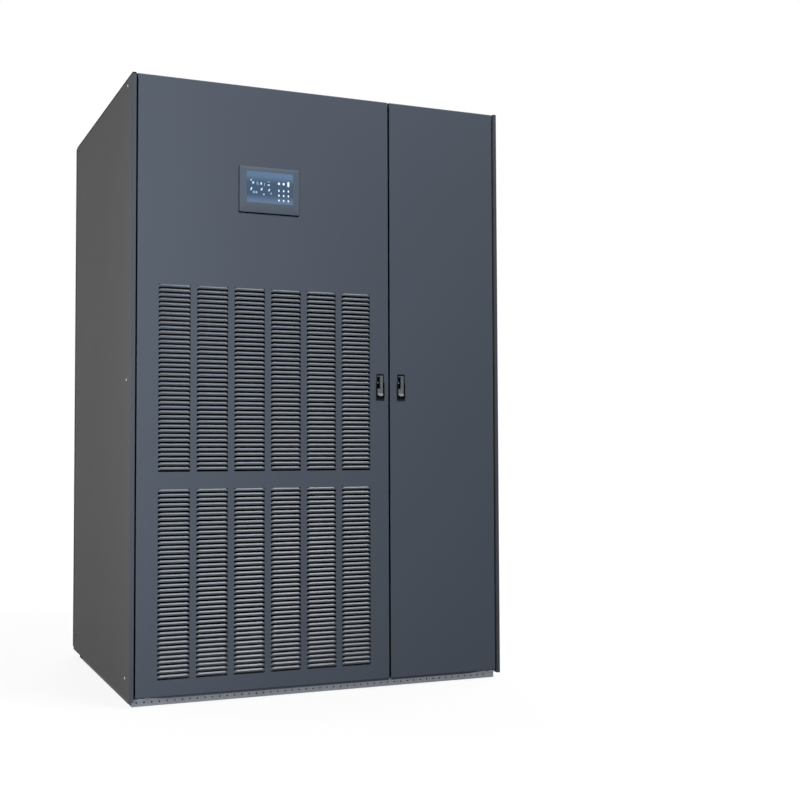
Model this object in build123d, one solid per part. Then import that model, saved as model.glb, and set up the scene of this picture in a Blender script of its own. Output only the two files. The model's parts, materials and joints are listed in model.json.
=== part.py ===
from build123d import *
import os

# Upright cooling cabinet for a computer room, in millimetres.
# The origin is on the floor under the middle of the whole, display included.
# +X is to the right and -Y is towards the front, seen by someone facing the doors.

# Overall cabinet
WIDTH = 1330.0
DEPTH = 1000.0
HEIGHT = 2010.0
BEZEL_PROUD = 8.0
HALF_W = WIDTH / 2
FRONT = (BEZEL_PROUD - DEPTH) / 2
REAR = FRONT + DEPTH

# Doors: folded pans that lie over the frame, with an upstand of the front sheet over the top fold
DOOR_GAP = 6.0
DOOR_DEPTH = 30.0
DOOR_SHEET = 2.0
DOOR_EDGE_R = 3.0
DOOR_LIP = 20.0
DOOR_BOTTOM = 30.0
DOOR_FOLD_TOP = 1995.0
DOOR_TOP = 2009.0
DOOR_SPLIT_X = 236.0
DOOR_BACK = FRONT + DOOR_DEPTH

# Side and rear panels, double-skinned slabs
SIDE_T = 12.0
SIDE_CORNER_R = 10.0
SIDE_REAR_Y = REAR - 22.0
SIDE_BOTTOM = 20.0
PANEL_EDGE_R = 2.0
REAR_T = 20.0
REAR_BOTTOM = 30.0
REAR_SPLIT_GAP = 2.0

# Base rails, folded from one thickness of sheet
RAIL_SHEET = 3.0
RAIL_SETBACK = 25.0
RAIL_LIP_H = 25.0
RAIL_SHELF = 20.0
RAIL_H = 60.0
RAIL_FOOT = 40.0
RAIL_FLANGE = 30.0
REAR_RAIL_Y = REAR - 90.0
PERFORATION_PITCH = 25.0
PERFORATION_R = 2.5
PERFORATION_COUNT = 51
PERFORATION_Z = 12.0
PERFORATION_MIDDLE_X = -12.5
PERFORATION_SIDES = 6
SCREW_HOLE_STEPS = (1, 5, 10, 15, 20, 25)

# Frame inside the panels
TUBE = 40.0
TUBE_WALL = 3.0
MULLION_W = 50.0
FRAME_FRONT = FRONT + 45.0
FLOOR_SHEET = 3.0
TOP_RING_Z = 1948.0
ROOF_T = 12.0
ROOF_FRONT = FRONT + 41.0
ROOF_TOP = TOP_RING_Z + TUBE + ROOF_T

# Air outlet in the roof, over the wide bay
OUTLET_X = (-560.0, 160.0)
OUTLET_Y = (-240.0, 340.0)
GRILLE_BORDER = 20.0
GRILLE_T = 3.0
GRILLE_BAR = 6.0
GRILLE_COLUMNS = 10
GRILLE_ROWS = 2

# Louvre banks pressed in the wide door
BANK_W = 105.0
BANK_PITCH = 127.0
BANK_COLUMNS = 6
BANK_FIRST_X = -577.0
BANK_TOPS = {"upper": 1337.0, "lower": 682.0}
LOUVRE_PITCH = 15.0
LOUVRE_COUNT = 40
LOUVRE_DROP = 11.0
LOUVRE_PROUD = 6.0
LOUVRE_SHEET = 1.5

# Control display
BEZEL_X = (-304.0, -97.0)
BEZEL_Z = (1587.0, 1741.0)
BEZEL_R = 3.0
SCREEN_X = (-282.0, -114.0)
SCREEN_Z = (1622.0, 1726.0)
SCREEN_T = 1.5
SCREEN_SINK = 1.0

# Pivots: the doors turn on pins, under plates on the front rail and arms on the roof
PIVOT_INBOARD = 16.0
PIVOT_BEHIND = 8.0
PIVOT_R = 4.0
PIVOT_PLAY = 0.05
PIVOT_PLATE = 3.0
PIVOT_PLATE_W = 28.0
PIVOT_PIN_L = 25.0
PIVOT_ARM_W = 9.0
PIVOT_ARM_L = 85.0
PIVOT_ARM_TURN = 45.0
PIVOT_HOLE_W = 12.0
BLOCK_W = 26.0
BLOCK_H = 24.0
PIVOT_Y = FRONT + PIVOT_BEHIND

# Latches: a dish in the door with a lever that lifts
LATCH_X = {"left": 201.0, "right": 280.0}
LATCH_BOTTOM = 979.0
LATCH_TOP = 1065.0
LATCH_W = 31.0
LATCH_NECK_W = 26.0
LATCH_NECK_H = 28.0
LATCH_WALL = 1.5
LATCH_RIM_PROUD = 2.0
LATCH_DISH = 14.0
LATCH_CORNER_R = 4.0
LEVER_BAR_X = (0.0, 9.0)
LEVER_PADDLE_X = (-10.0, 9.0)
LEVER_PADDLE_TOP = 1015.0
LEVER_PADDLE_R = 6.0
LEVER_KNEE = 999.0
LEVER_FLARE = 5.5
LEVER_T = 6.0
LEVER_PROUD = 2.5
LEVER_BOTTOM = 990.0
LEVER_TOP = 1060.0
LEVER_PIN_R = 1.5
LEVER_PIN_Z = 1057.0
LEVER_PIN_BEHIND = 1.0
LOCK_R = 2.5
LOCK_LENGTH = 5.5
LOCK_X = -5.0
LOCK_Z = 1036.0

INNER_X = HALF_W - SIDE_T
DOOR_X = {
    "left": (-INNER_X + DOOR_GAP, DOOR_SPLIT_X - DOOR_GAP / 2),
    "right": (DOOR_SPLIT_X + DOOR_GAP / 2, INNER_X - DOOR_GAP),
}
PIVOT_X = {"left": DOOR_X["left"][0] + PIVOT_INBOARD, "right": DOOR_X["right"][1] - PIVOT_INBOARD}


def block(x, y, z):
    """A box between two values on each axis."""
    size = (x[1] - x[0], y[1] - y[0], z[1] - z[0])
    middle = ((x[0] + x[1]) / 2, (y[0] + y[1]) / 2, (z[0] + z[1]) / 2)
    return Pos(*middle) * Box(*size)


def rod(x, y, z, radius):
    """A round bar along the one axis that is given as a pair of values."""
    if isinstance(z, tuple):
        return Pos(x, y, (z[0] + z[1]) / 2) * Cylinder(radius, z[1] - z[0])
    if isinstance(y, tuple):
        return Pos(x, (y[0] + y[1]) / 2, z) * Rot(90, 0, 0) * Cylinder(radius, y[1] - y[0])
    return Pos((x[0] + x[1]) / 2, y, z) * Rot(0, 90, 0) * Cylinder(radius, x[1] - x[0])


def edges_at(solid, axis, side):
    """The edges that bound the solid's lowest (0) or highest (-1) face along an axis."""
    return solid.faces().sort_by(axis)[side].edges()


def square_tube(x, y, z, along):
    """A square tube with open ends along "x", "y" or "z"."""
    spans = {"x": x, "y": y, "z": z}
    core = {}
    for name, span in spans.items():
        trim = 0.0 if name == along else TUBE_WALL
        core[name] = (span[0] + trim, span[1] - trim)
    return block(x, y, z) - block(core["x"], core["y"], core["z"])


def rail_section():
    """The folded base section, looking along it, with its outer lip on the left at 0, 0."""
    t = RAIL_SHEET
    shelf = RAIL_SHELF
    points = [
        (0, 0),
        (RAIL_FOOT, 0),
        (RAIL_FOOT, t),
        (t, t),
        (t, RAIL_LIP_H - t),
        (shelf + t, RAIL_LIP_H - t),
        (shelf + t, RAIL_H - t),
        (shelf + RAIL_FLANGE, RAIL_H - t),
        (shelf + RAIL_FLANGE, RAIL_H),
        (shelf, RAIL_H),
        (shelf, RAIL_LIP_H),
        (0, RAIL_LIP_H),
    ]
    return make_face(Polyline(*points, close=True))


def perforation(x, y):
    """The cutter of one rail hole: round where a screw goes, six-sided elsewhere."""
    if round(abs(x - PERFORATION_MIDDLE_X) / PERFORATION_PITCH) in SCREW_HOLE_STEPS:
        return rod(x, y, PERFORATION_Z, PERFORATION_R)
    outline = Pos(x, PERFORATION_Z) * RegularPolygon(PERFORATION_R, PERFORATION_SIDES, major_radius=False)
    return extrude(Plane.XZ.offset(-y[1]) * outline, y[1] - y[0])


def base_rails():
    """Four folded rails: perforated in front, plain on the other sides."""
    half = INNER_X
    front_y = FRONT + RAIL_SETBACK
    across = Plane(origin=(-half, front_y, 0), x_dir=(0, 1, 0), z_dir=(1, 0, 0))
    front = extrude(across * rail_section(), 2 * half)
    first = PERFORATION_MIDDLE_X - (PERFORATION_COUNT - 1) * PERFORATION_PITCH / 2
    holes = []
    for i in range(PERFORATION_COUNT):
        holes.append(perforation(first + i * PERFORATION_PITCH, (front_y - 1, front_y + RAIL_SHEET + 1)))
    behind = Plane(origin=(half, REAR_RAIL_Y, 0), x_dir=(0, -1, 0), z_dir=(-1, 0, 0))
    rear = extrude(behind * rail_section(), 2 * half)
    reach = RAIL_SHELF + RAIL_FLANGE
    start = front_y + reach
    length = REAR_RAIL_Y - reach - start
    beside = Plane(origin=(-half, start + length, 0), x_dir=(1, 0, 0), z_dir=(0, -1, 0))
    left = extrude(beside * rail_section(), length)
    right = mirror(left, about=Plane.YZ)
    return {
        "base_front_rail": front - holes,
        "base_rear_rail": rear,
        "base_left_rail": left,
        "base_right_rail": right,
    }


def floor_pan():
    """The flat floor of the cabinet, on the top flanges of the base rails."""
    return block((-INNER_X, INNER_X), (FRAME_FRONT, REAR - REAR_T), (RAIL_H, RAIL_H + FLOOR_SHEET))


def side_panels():
    """Two tall panels with a large bend where each turns to the front."""
    left = block((-HALF_W, -INNER_X), (FRONT, SIDE_REAR_Y), (SIDE_BOTTOM, HEIGHT))
    outer = left.edges().filter_by(Axis.Z).group_by(Axis.X)[0].sort_by(Axis.Y)
    left = fillet(outer[0], SIDE_CORNER_R)
    top = left.faces().sort_by(Axis.Z)[-1].edges().sort_by(Axis.X)[0]
    left = chamfer(top, PANEL_EDGE_R)
    return {"left_side_panel": left, "right_side_panel": mirror(left, about=Plane.YZ)}


def rear_panels():
    """Two lift-off panels that close the back."""
    inner = REAR_SPLIT_GAP / 2
    left = block((-HALF_W, -inner), (REAR - REAR_T, REAR), (REAR_BOTTOM, HEIGHT - ROOF_T / 4))
    left = chamfer(edges_at(left, Axis.Y, -1), PANEL_EDGE_R)
    return {"rear_left_panel": left, "rear_right_panel": mirror(left, about=Plane.YZ)}


def frame_tubes():
    """Corner posts, the post behind the door split, and the ring under the roof."""
    tubes = {}
    foot = RAIL_H + FLOOR_SHEET
    rows = {"front": (FRAME_FRONT, FRAME_FRONT + TUBE), "rear": (REAR - REAR_T - TUBE, REAR - REAR_T)}
    columns = {"left": (-INNER_X, -INNER_X + TUBE), "right": (INNER_X - TUBE, INNER_X)}
    for row, y in rows.items():
        for column, x in columns.items():
            tubes[f"{row}_{column}_post"] = square_tube(x, y, (foot, TOP_RING_Z), "z")
        ring = (TOP_RING_Z, TOP_RING_Z + TUBE)
        tubes[f"{row}_top_rail"] = square_tube((-INNER_X, INNER_X), y, ring, "x")
    between = (rows["front"][1], rows["rear"][0])
    for column, x in columns.items():
        ring = (TOP_RING_Z, TOP_RING_Z + TUBE)
        tubes[f"{column}_top_rail"] = square_tube(x, between, ring, "y")
    split = (DOOR_SPLIT_X - MULLION_W / 2, DOOR_SPLIT_X + MULLION_W / 2)
    tubes["centre_post"] = square_tube(split, rows["front"], (foot, TOP_RING_Z), "z")
    return tubes


def roof():
    """The roof panel with its air outlet, and the guard over the outlet."""
    top = ROOF_TOP
    panel = block((-INNER_X, INNER_X), (ROOF_FRONT, REAR - REAR_T), (top - ROOF_T, top))
    panel = panel - block(OUTLET_X, OUTLET_Y, (top - ROOF_T - 1, top + 1))
    border = GRILLE_BORDER
    guard_x = (OUTLET_X[0] - border, OUTLET_X[1] + border)
    guard_y = (OUTLET_Y[0] - border, OUTLET_Y[1] + border)
    guard = block(guard_x, guard_y, (top, top + GRILLE_T))
    pitch_x = (OUTLET_X[1] - OUTLET_X[0] + GRILLE_BAR) / GRILLE_COLUMNS
    pitch_y = (OUTLET_Y[1] - OUTLET_Y[0] + GRILLE_BAR) / GRILLE_ROWS
    slots = []
    for i in range(GRILLE_COLUMNS):
        x0 = OUTLET_X[0] + i * pitch_x
        for j in range(GRILLE_ROWS):
            y0 = OUTLET_Y[0] + j * pitch_y
            slot_x = (x0, x0 + pitch_x - GRILLE_BAR)
            slot_y = (y0, y0 + pitch_y - GRILLE_BAR)
            slots.append(block(slot_x, slot_y, (top - 1, top + GRILLE_T + 1)))
    return {"roof_panel": panel, "outlet_guard": guard - slots}


def pivots():
    """Pins that carry the doors: on two plates on the front rail and on two slanting arms on the roof."""
    lower = []
    upper = []
    arm_z = (ROOF_TOP, ROOF_TOP + PIVOT_PLATE)
    shelf_end = FRONT + RAIL_SETBACK + RAIL_SHELF
    for side, x in PIVOT_X.items():
        plate_x = (x - PIVOT_PLATE_W / 2, x + PIVOT_PLATE_W / 2)
        plate_z = (RAIL_LIP_H, RAIL_LIP_H + PIVOT_PLATE)
        plate = block(plate_x, (PIVOT_Y - PIVOT_R - 1, shelf_end), plate_z)
        lower.append(plate + rod(x, PIVOT_Y, (RAIL_LIP_H, DOOR_BOTTOM + PIVOT_PIN_L), PIVOT_R))
        turn = PIVOT_ARM_TURN if side == "left" else 180 - PIVOT_ARM_TURN
        arm = block((0, PIVOT_ARM_L), (-PIVOT_ARM_W / 2, PIVOT_ARM_W / 2), arm_z)
        arm = Pos(x, PIVOT_Y) * Rot(0, 0, turn) * arm
        upper.append(arm + rod(x, PIVOT_Y, (DOOR_FOLD_TOP - PIVOT_PIN_L, arm_z[1]), PIVOT_R))
    return {"lower_door_pivots": Compound(lower), "upper_door_pivots": Compound(upper)}


def door_pan(side):
    """A door skin folded at its edges, with a return lip round its open back and an upstand on top."""
    x = DOOR_X[side]
    t = DOOR_SHEET
    pan = block(x, (FRONT, DOOR_BACK), (DOOR_BOTTOM, DOOR_TOP))
    pan = fillet(edges_at(pan, Axis.Y, 0), DOOR_EDGE_R)
    pan -= block((x[0] - 1, x[1] + 1), (FRONT + t, DOOR_BACK + 1), (DOOR_FOLD_TOP, DOOR_TOP + 1))
    pan -= block((x[0] + t, x[1] - t), (FRONT + t, DOOR_BACK - t), (DOOR_BOTTOM + t, DOOR_FOLD_TOP - t))
    lip = DOOR_LIP
    pan -= block((x[0] + lip, x[1] - lip), (FRONT + t, DOOR_BACK + 1), (DOOR_BOTTOM + lip, DOOR_FOLD_TOP - lip))
    hole_x = (PIVOT_X[side] - PIVOT_HOLE_W / 2, PIVOT_X[side] + PIVOT_HOLE_W / 2)
    hole_y = (PIVOT_Y - PIVOT_HOLE_W / 2, PIVOT_Y + PIVOT_HOLE_W / 2)
    pan -= block(hole_x, hole_y, (DOOR_BOTTOM - 1, DOOR_BOTTOM + t + 1))
    pan -= block(hole_x, hole_y, (DOOR_FOLD_TOP - t - 1, DOOR_FOLD_TOP + 1))
    cut = latch_outline(LATCH_X[side], 0.0)
    return pan - extrude(Plane.XZ.offset(-FRONT - t - 1) * cut, t + 2)


def door_blocks(side):
    """The bearing blocks inside a door's top and bottom folds."""
    x = PIVOT_X[side]
    block_x = (x - BLOCK_W / 2, x + BLOCK_W / 2)
    block_y = (FRONT + DOOR_SHEET, DOOR_BACK - DOOR_SHEET)
    blocks = []
    for z in (DOOR_BOTTOM + DOOR_SHEET, DOOR_FOLD_TOP - DOOR_SHEET - BLOCK_H):
        bearing = block(block_x, block_y, (z, z + BLOCK_H))
        blocks.append(bearing - rod(x, PIVOT_Y, (z - 1, z + BLOCK_H + 1), PIVOT_R + PIVOT_PLAY))
    return Compound(blocks)


def louvre():
    """One louvre slat, which slopes down and out from the door sheet to its lip."""
    root = FRONT + DOOR_SHEET - LOUVRE_SHEET
    lip = FRONT - LOUVRE_PROUD
    points = [
        (root, 0),
        (root + LOUVRE_SHEET, 0),
        (lip + LOUVRE_SHEET, -LOUVRE_DROP),
        (lip, -LOUVRE_DROP),
    ]
    return extrude(Plane.YZ * make_face(Polyline(*points, close=True)), BANK_W)


def louvre_banks():
    """Twelve banks of louvres, in two rows of six, each in a window of the wide door."""
    first = louvre()
    banks = {}
    for row, top in BANK_TOPS.items():
        for column in range(BANK_COLUMNS):
            x0 = BANK_FIRST_X + column * BANK_PITCH
            blades = [Pos(x0, 0, top - i * LOUVRE_PITCH) * first for i in range(LOUVRE_COUNT)]
            banks[f"{row}_louvre_bank_{column + 1}"] = Compound(blades)
    return banks


def louvre_windows():
    """The cut-outs of the wide door that the louvre banks fill."""
    windows = []
    for top in BANK_TOPS.values():
        for column in range(BANK_COLUMNS):
            x0 = BANK_FIRST_X + column * BANK_PITCH
            z = (top - LOUVRE_COUNT * LOUVRE_PITCH, top)
            windows.append(block((x0, x0 + BANK_W), (FRONT - 1, FRONT + DOOR_SHEET + 1), z))
    return windows


def display():
    """The bezel on the wide door and the screen sunk in it."""
    bezel = block(BEZEL_X, (FRONT - BEZEL_PROUD, FRONT), BEZEL_Z)
    bezel = fillet(edges_at(bezel, Axis.Y, 0), BEZEL_R)
    face = FRONT - BEZEL_PROUD
    bezel -= block(SCREEN_X, (face - 1, face + SCREEN_SINK + SCREEN_T), SCREEN_Z)
    screen = block(SCREEN_X, (face + SCREEN_SINK, face + SCREEN_SINK + SCREEN_T), SCREEN_Z)
    return {"display_bezel": bezel, "display_screen": screen}


def latch_outline(x, inset):
    """The latch's keyhole outline, seen from the front: a wide foot under a narrow neck."""
    foot_h = LATCH_TOP - LATCH_NECK_H - LATCH_BOTTOM
    foot = Pos(x, LATCH_BOTTOM + foot_h / 2) * Rectangle(LATCH_W - 2 * inset, foot_h - 2 * inset)
    low = LATCH_BOTTOM + foot_h / 2
    high = LATCH_TOP - inset
    neck = Pos(x, (low + high) / 2) * Rectangle(LATCH_NECK_W - 2 * inset, high - low)
    outline = foot + neck
    lowest = outline.vertices().sort_by(Axis.Y)[:2]
    return fillet(lowest, LATCH_CORNER_R - inset)


def latch(side):
    """The dish let into a door, the lever in it and the lock beside the lever."""
    x = LATCH_X[side]
    front = FRONT - LATCH_RIM_PROUD
    face = Plane.XZ.offset(-front)
    depth = LATCH_DISH + LATCH_RIM_PROUD
    dish = extrude(face * latch_outline(x, 0.0), -depth)
    dish -= extrude(face * latch_outline(x, LATCH_WALL), -(depth - LATCH_WALL))
    pin_y = FRONT + LEVER_PIN_BEHIND
    dish -= rod((x - LATCH_W, x + LATCH_W), pin_y, LEVER_PIN_Z, LEVER_PIN_R + PIVOT_PLAY)
    floor_y = FRONT + LATCH_DISH - LATCH_WALL
    lock = rod(x + LOCK_X, (floor_y - LOCK_LENGTH, floor_y), LOCK_Z, LOCK_R)
    return {f"{side}_latch_dish": dish, f"{side}_lock": lock}


def lever(side):
    """A latch lever on a cross pin: a bar down one side of a wide paddle that flares out at its foot."""
    x = LATCH_X[side]
    front = FRONT - LEVER_PROUD
    back = front + LEVER_T
    bar = block((x + LEVER_BAR_X[0], x + LEVER_BAR_X[1]), (front, back), (LEVER_KNEE, LEVER_TOP))
    points = [
        (front, LEVER_PADDLE_TOP),
        (front, LEVER_KNEE),
        (front - LEVER_FLARE, LEVER_BOTTOM),
        (back - LEVER_FLARE, LEVER_BOTTOM),
        (back, LEVER_KNEE),
        (back, LEVER_PADDLE_TOP),
    ]
    side_view = make_face(Polyline(*points, close=True))
    paddle_x = (x + LEVER_PADDLE_X[0], x + LEVER_PADDLE_X[1])
    paddle = extrude(Plane.YZ.offset(paddle_x[0]) * side_view, paddle_x[1] - paddle_x[0])
    corners = edges_at(paddle, Axis.Z, 0).filter_by(Axis.Y)
    paddle = fillet(corners, LEVER_PADDLE_R)
    pin_y = FRONT + LEVER_PIN_BEHIND
    half = LATCH_NECK_W / 2
    return bar + paddle + rod((x - half, x + half), pin_y, LEVER_PIN_Z, LEVER_PIN_R)


def build():
    """Every piece of the cabinet by name."""
    pieces = {}
    pieces.update(base_rails())
    pieces["floor_pan"] = floor_pan()
    pieces.update(side_panels())
    pieces.update(rear_panels())
    pieces.update(frame_tubes())
    pieces.update(roof())
    pieces.update(pivots())
    pieces["left_door_skin"] = door_pan("left") - louvre_windows()
    pieces["right_door_skin"] = door_pan("right")
    pieces.update(louvre_banks())
    pieces.update(display())
    for side in ("left", "right"):
        pieces[f"{side}_door_blocks"] = door_blocks(side)
        pieces.update(latch(side))
        pieces[f"{side}_latch_lever"] = lever(side)
    return pieces


os.makedirs("parts", exist_ok=True)
for name, piece in build().items():
    export_step(piece, f"parts/{name}.step")
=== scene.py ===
"""Finished looks of an upright cooling cabinet for a computer room, in metres."""

import json
import logging
import math
from dataclasses import dataclass
from enum import Enum
from typing import Iterable, Optional, Union

import bmesh
import bpy
from mathutils import Matrix, Vector


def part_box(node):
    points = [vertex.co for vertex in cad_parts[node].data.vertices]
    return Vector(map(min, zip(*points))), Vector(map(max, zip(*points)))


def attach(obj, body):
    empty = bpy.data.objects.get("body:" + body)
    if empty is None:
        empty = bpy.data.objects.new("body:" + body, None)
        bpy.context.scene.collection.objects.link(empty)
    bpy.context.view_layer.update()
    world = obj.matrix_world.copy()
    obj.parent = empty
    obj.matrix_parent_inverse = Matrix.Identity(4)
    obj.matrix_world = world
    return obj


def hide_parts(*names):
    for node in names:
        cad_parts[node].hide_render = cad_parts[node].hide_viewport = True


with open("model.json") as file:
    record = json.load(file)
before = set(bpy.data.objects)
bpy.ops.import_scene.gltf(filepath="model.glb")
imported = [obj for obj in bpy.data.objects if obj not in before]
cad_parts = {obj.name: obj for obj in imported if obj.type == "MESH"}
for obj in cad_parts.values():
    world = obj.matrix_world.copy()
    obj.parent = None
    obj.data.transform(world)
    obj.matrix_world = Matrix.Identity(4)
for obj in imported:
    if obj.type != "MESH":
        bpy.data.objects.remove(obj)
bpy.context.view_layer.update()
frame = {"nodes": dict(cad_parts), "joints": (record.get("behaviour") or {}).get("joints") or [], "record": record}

MM = 0.001
CLOSE = 0.01 * MM
FACING_FRONT = -0.99
EDGE_TRIM_W = 3.5 * MM
WHITE = (1.0, 1.0, 1.0, 1.0)
LOG = logging.getLogger("cabinet")

Colour = tuple[float, float, float]
Place = tuple[float, float, float]
Mesh = bmesh.types.BMesh
Vert = bmesh.types.BMVert
Edge = bmesh.types.BMEdge
Material = bpy.types.Material
Socket = bpy.types.NodeSocket
Tree = bpy.types.NodeTree


class Side(Enum):
    """The two sides of the cabinet, as seen by someone who faces the doors."""

    LEFT = "left"
    RIGHT = "right"

    @property
    def outward(self) -> int:
        """The sign of x on the way out of this side."""
        return -1 if self is Side.LEFT else 1

    def outer_first(self, low: Vector, high: Vector) -> tuple[float, float]:
        """The outer and the inner x of a box on this side."""
        return (low.x, high.x) if self is Side.LEFT else (high.x, low.x)


class Row(Enum):
    """The two rows of louvre banks in the wide door."""

    UPPER = "upper"
    LOWER = "lower"


# Shared shader effects


def set_inputs(node: bpy.types.Node, values: dict[str, object]) -> None:
    """Sets plain values on the named inputs of a node."""
    for label, value in values.items():
        node.inputs[label].default_value = value


def math_node(tree: Tree, operation: str, first: Socket, second: Union[Socket, float]) -> Socket:
    """Adds a sum, product or the like.

    Args:
        tree: The nodes that it goes among.
        operation: The name of Blender's operation.
        first: The first socket.
        second: The second socket, or a number.

    Returns:
        The socket of the result.
    """
    node = tree.nodes.new("ShaderNodeMath")
    node.operation = operation
    tree.links.new(first, node.inputs[0])
    if isinstance(second, Socket):
        tree.links.new(second, node.inputs[1])
    else:
        node.inputs[1].default_value = second
    return node.outputs[0]


class ShaderGroup:
    """A shader node group with named sockets, built once and placed in many materials."""

    NOISE_LOW = 0.3
    NOISE_HIGH = 0.7

    def __init__(self, name: str, inputs: list[str], outputs: list[str]) -> None:
        """Makes the empty group.

        Args:
            name: The group's name.
            inputs: The names of the numbers that each material sets.
            outputs: The names of the values that it gives.
        """
        self.tree = bpy.data.node_groups.new(name, "ShaderNodeTree")
        face = self.tree.interface
        face.new_socket("Vector", in_out="INPUT", socket_type="NodeSocketVector")
        for label in inputs:
            face.new_socket(label, in_out="INPUT", socket_type="NodeSocketFloat")
        for label in outputs:
            face.new_socket(label, in_out="OUTPUT", socket_type="NodeSocketFloat")
        self.entry = self.tree.nodes.new("NodeGroupInput")
        self.exit = self.tree.nodes.new("NodeGroupOutput")

    def link(self, start: Socket, end: Socket) -> None:
        """Joins two sockets."""
        self.tree.links.new(start, end)

    def noise(self, scale: float, detail: float, factor: Optional[str] = None) -> Socket:
        """Adds a noise pattern on the group's own coordinates.

        Args:
            scale: How many bumps there are to a metre.
            detail: How many finer layers are added.
            factor: The input that multiplies the scale, if any.

        Returns:
            The socket of the noise's value.
        """
        node = self.tree.nodes.new("ShaderNodeTexNoise")
        set_inputs(node, {"Scale": scale, "Detail": detail})
        self.link(self.entry.outputs["Vector"], node.inputs["Vector"])
        if factor is not None:
            size = self.math("MULTIPLY", self.entry.outputs[factor], scale)
            self.link(size, node.inputs["Scale"])
        return node.outputs["Fac"]

    def math(self, operation: str, first: Socket, second: Union[Socket, float]) -> Socket:
        """Adds a sum, product or the like to the group."""
        return math_node(self.tree, operation, first, second)

    def span(self, value: Socket, low: float, high: float) -> Socket:
        """Stretches the middle of a noise, where most of its values lie, over a new span.

        Args:
            value: The socket of the noise's value.
            low: The lower end of the new span.
            high: The upper end of the new span.

        Returns:
            The socket of the result.
        """
        node = self.tree.nodes.new("ShaderNodeMapRange")
        set_inputs(node, {"From Min": self.NOISE_LOW, "From Max": self.NOISE_HIGH})
        set_inputs(node, {"To Min": low, "To Max": high})
        self.link(value, node.inputs["Value"])
        return node.outputs["Result"]


@dataclass(frozen=True)
class PowderCoat:
    """Fine orange peel, grain and faint clouding of a baked powder coat, with scales in bumps to a metre."""

    peel_scale: float = 420.0
    grain_scale: float = 1900.0
    grain_height: float = 0.35
    grain_tint: float = 0.25
    cloud_scale: float = 1.7
    smear_scale: float = 6.0
    smear_gloss: float = 0.015

    def group(self) -> ShaderGroup:
        """Builds the shader group.

        Returns:
            The group, which gives a tint to multiply by, a change of roughness and a height.
        """
        group = ShaderGroup("powder_coat", ["Peel", "Clouding"], ["Tint", "Roughness", "Height"])
        peel = group.noise(self.peel_scale, detail=2.0, factor="Peel")
        grain = group.noise(self.grain_scale, detail=1.0)
        cloud = group.span(group.noise(self.cloud_scale, detail=3.0), -1.0, 1.0)
        speck = group.span(grain, -self.grain_tint, self.grain_tint)
        sway = group.math("MULTIPLY", group.math("ADD", cloud, speck), group.entry.outputs["Clouding"])
        group.link(group.math("ADD", sway, 1.0), group.exit.inputs["Tint"])
        smear = group.span(group.noise(self.smear_scale, detail=4.0), -self.smear_gloss, self.smear_gloss)
        group.link(smear, group.exit.inputs["Roughness"])
        height = group.math("ADD", peel, group.math("MULTIPLY", grain, self.grain_height))
        group.link(height, group.exit.inputs["Height"])
        return group


@dataclass(frozen=True)
class ZincSpangle:
    """Crystal spangle and faint rolling streaks of zinc-coated sheet, with scales in crystals to a metre."""

    crystal_scale: float = 70.0
    crystal_tint: float = 0.12
    streak_scale: float = 35.0
    streak_dark: float = 0.86
    streak_pale: float = 1.02
    streak_gloss: float = 0.08

    def group(self) -> ShaderGroup:
        """Builds the shader group.

        Returns:
            The group, which gives a tint to multiply by, a change of roughness and a height.
        """
        group = ShaderGroup("zinc_spangle", ["Spangle"], ["Tint", "Roughness", "Height"])
        cells = group.tree.nodes.new("ShaderNodeTexVoronoi")
        scale = group.math("MULTIPLY", group.entry.outputs["Spangle"], self.crystal_scale)
        group.link(scale, cells.inputs["Scale"])
        group.link(group.entry.outputs["Vector"], cells.inputs["Vector"])
        shade = group.tree.nodes.new("ShaderNodeSeparateColor")
        group.link(cells.outputs["Color"], shade.inputs["Color"])
        streak = group.noise(self.streak_scale, detail=5.0)
        facet = group.math("MULTIPLY", shade.outputs["Red"], self.crystal_tint)
        wash = group.span(streak, self.streak_dark, self.streak_pale)
        group.link(group.math("ADD", facet, wash), group.exit.inputs["Tint"])
        group.link(group.span(streak, -self.streak_gloss, self.streak_gloss), group.exit.inputs["Roughness"])
        group.link(group.math("ADD", streak, facet), group.exit.inputs["Height"])
        return group


@dataclass(frozen=True)
class Effects:
    """The shader groups that the finishes share."""

    powder: ShaderGroup
    zinc: ShaderGroup


def tinted(tree: Tree, colour: Colour, shade: Socket) -> Socket:
    """Adds a node that multiplies a plain colour by a socket.

    Args:
        tree: The material's nodes.
        colour: The plain colour.
        shade: The socket of the value or colour that it is multiplied by.

    Returns:
        The socket of the result.
    """
    node = tree.nodes.new("ShaderNodeMix")
    node.data_type = "RGBA"
    node.blend_type = "MULTIPLY"
    node.inputs["Factor"].default_value = 1.0
    node.inputs["A"].default_value = (*colour, 1.0)
    tree.links.new(shade, node.inputs["B"])
    return node.outputs["Result"]


# Finishes


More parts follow.
